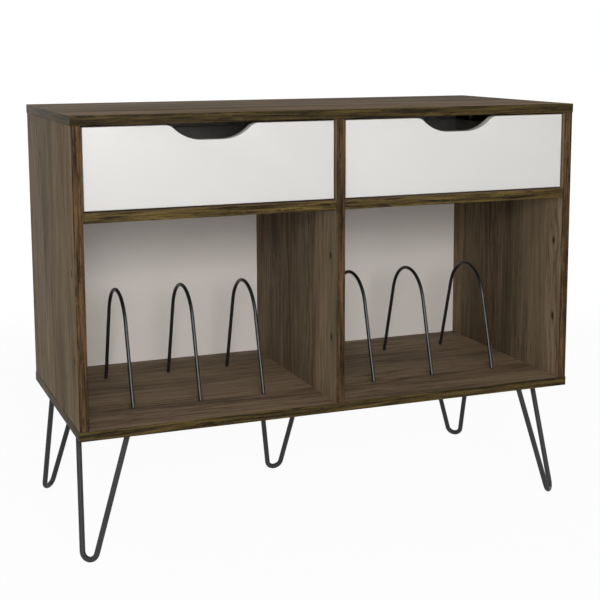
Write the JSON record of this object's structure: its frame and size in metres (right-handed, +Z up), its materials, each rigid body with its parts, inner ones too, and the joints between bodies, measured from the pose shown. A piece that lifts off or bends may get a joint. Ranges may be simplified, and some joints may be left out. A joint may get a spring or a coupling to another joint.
{
  "type": "turntable stand",
  "caption": "Low walnut cabinet on bent-rod legs: scooped drawers on rollers over open record bays with bent-wire dividers.",
  "frame": {"origin": "on the floor, in the middle of the stand's outline", "axes": "+Z up, +X to the right as seen from the front, +Y from the front to the back"},
  "size_m": [0.914, 0.4158, 0.7379],
  "materials": {
    "walnut_laminate": "satin",
    "white_front": "satin",
    "white_hardboard": "matte",
    "drawer_board": "matte",
    "black_wire": "satin",
    "charcoal_rod": "matte",
    "runner_enamel": "satin",
    "roller_nylon": "matte",
    "zinc": "satin",
    "beech": "matte"
  },
  "bodies": {
    "cabinet": {"top_panel": "walnut_laminate", "bottom_panel": "walnut_laminate", "left_side_panel": "walnut_laminate", "right_side_panel": "walnut_laminate", "centre_divider": "walnut_laminate", "left_shelf": "walnut_laminate", "right_shelf": "walnut_laminate", "back_panel": "white_hardboard", "record_divider_1": "black_wire", "record_divider_2": "black_wire", "record_divider_3": "black_wire", "record_divider_4": "black_wire", "record_divider_5": "black_wire", "record_divider_6": "black_wire", "front_left_leg": "charcoal_rod", "front_right_leg": "charcoal_rod", "rear_left_leg": "charcoal_rod", "rear_right_leg": "charcoal_rod", "centre_leg": "charcoal_rod", "left_bay_left_runner": "runner_enamel", "left_bay_right_runner": "runner_enamel", "right_bay_left_runner": "runner_enamel", "right_bay_right_runner": "runner_enamel", "leg_screws": "zinc", "runner_screws": "zinc", "cam_locks": "zinc", "cam_bolts": "zinc", "dowels": "beech", "joining_screws": "zinc", "back_nails": "zinc"},
    "left_drawer": {"left_drawer_front": "white_front", "left_drawer_left_side": "drawer_board", "left_drawer_right_side": "drawer_board", "left_drawer_back": "drawer_board", "left_drawer_bottom": "drawer_board", "left_drawer_left_runner": "runner_enamel", "left_drawer_right_runner": "runner_enamel", "left_drawer_cam_locks": "zinc", "left_drawer_cam_bolts": "zinc", "left_drawer_screws": "zinc"},
    "right_drawer": {"right_drawer_front": "white_front", "right_drawer_left_side": "drawer_board", "right_drawer_right_side": "drawer_board", "right_drawer_back": "drawer_board", "right_drawer_bottom": "drawer_board", "right_drawer_left_runner": "runner_enamel", "right_drawer_right_runner": "runner_enamel", "right_drawer_cam_locks": "zinc", "right_drawer_cam_bolts": "zinc", "right_drawer_screws": "zinc"},
    "left_bay_left_roller": {"left_bay_left_roller": "roller_nylon"},
    "left_bay_right_roller": {"left_bay_right_roller": "roller_nylon"},
    "left_drawer_left_roller": {"left_drawer_left_roller": "roller_nylon"},
    "left_drawer_right_roller": {"left_drawer_right_roller": "roller_nylon"},
    "right_bay_left_roller": {"right_bay_left_roller": "roller_nylon"},
    "right_bay_right_roller": {"right_bay_right_roller": "roller_nylon"},
    "right_drawer_left_roller": {"right_drawer_left_roller": "roller_nylon"},
    "right_drawer_right_roller": {"right_drawer_right_roller": "roller_nylon"}
  },
  "joints": [
    {"name": "left_drawer_slide", "type": "slide", "parent": "cabinet", "child": "left_drawer", "axis": [0, -1, 0], "range_m": [0, 0.26]},
    {"name": "right_drawer_slide", "type": "slide", "parent": "cabinet", "child": "right_drawer", "axis": [0, -1, 0], "range_m": [0, 0.26]},
    {"name": "left_bay_left_roller_spin", "type": "hinge", "parent": "cabinet", "child": "left_bay_left_roller", "pos_m": [-0.43412, -0.17353, 0.60165], "axis": [1, 0, 0], "range_deg": [0, 1753]},
    {"name": "left_bay_right_roller_spin", "type": "hinge", "parent": "cabinet", "child": "left_bay_right_roller", "pos_m": [-0.01394, -0.17353, 0.60165], "axis": [1, 0, 0], "range_deg": [0, 1753]},
    {"name": "left_drawer_left_roller_spin", "type": "hinge", "parent": "left_drawer", "child": "left_drawer_left_roller", "pos_m": [-0.43412, 0.1525, 0.60165], "axis": [1, 0, 0], "range_deg": [0, 1753]},
    {"name": "left_drawer_right_roller_spin", "type": "hinge", "parent": "left_drawer", "child": "left_drawer_right_roller", "pos_m": [-0.01394, 0.1525, 0.60165], "axis": [1, 0, 0], "range_deg": [0, 1753]},
    {"name": "right_bay_left_roller_spin", "type": "hinge", "parent": "cabinet", "child": "right_bay_left_roller", "pos_m": [0.01394, -0.17353, 0.60165], "axis": [1, 0, 0], "range_deg": [0, 1753]},
    {"name": "right_bay_right_roller_spin", "type": "hinge", "parent": "cabinet", "child": "right_bay_right_roller", "pos_m": [0.43412, -0.17353, 0.60165], "axis": [1, 0, 0], "range_deg": [0, 1753]},
    {"name": "right_drawer_left_roller_spin", "type": "hinge", "parent": "right_drawer", "child": "right_drawer_left_roller", "pos_m": [0.01394, 0.1525, 0.60165], "axis": [1, 0, 0], "range_deg": [0, 1753]},
    {"name": "right_drawer_right_roller_spin", "type": "hinge", "parent": "right_drawer", "child": "right_drawer_right_roller", "pos_m": [0.43412, 0.1525, 0.60165], "axis": [1, 0, 0], "range_deg": [0, 1753]}
  ],
  "couplings": [
    {"joint": "left_bay_left_roller_spin", "follows": "left_drawer_slide", "rad_per_m": 117.65},
    {"joint": "left_bay_right_roller_spin", "follows": "left_drawer_slide", "rad_per_m": 117.65},
    {"joint": "left_drawer_left_roller_spin", "follows": "left_drawer_slide", "rad_per_m": 117.65},
    {"joint": "left_drawer_right_roller_spin", "follows": "left_drawer_slide", "rad_per_m": 117.65},
    {"joint": "right_bay_left_roller_spin", "follows": "right_drawer_slide", "rad_per_m": 117.65},
    {"joint": "right_bay_right_roller_spin", "follows": "right_drawer_slide", "rad_per_m": 117.65},
    {"joint": "right_drawer_left_roller_spin", "follows": "right_drawer_slide", "rad_per_m": 117.65},
    {"joint": "right_drawer_right_roller_spin", "follows": "right_drawer_slide", "rad_per_m": 117.65}
  ]
}
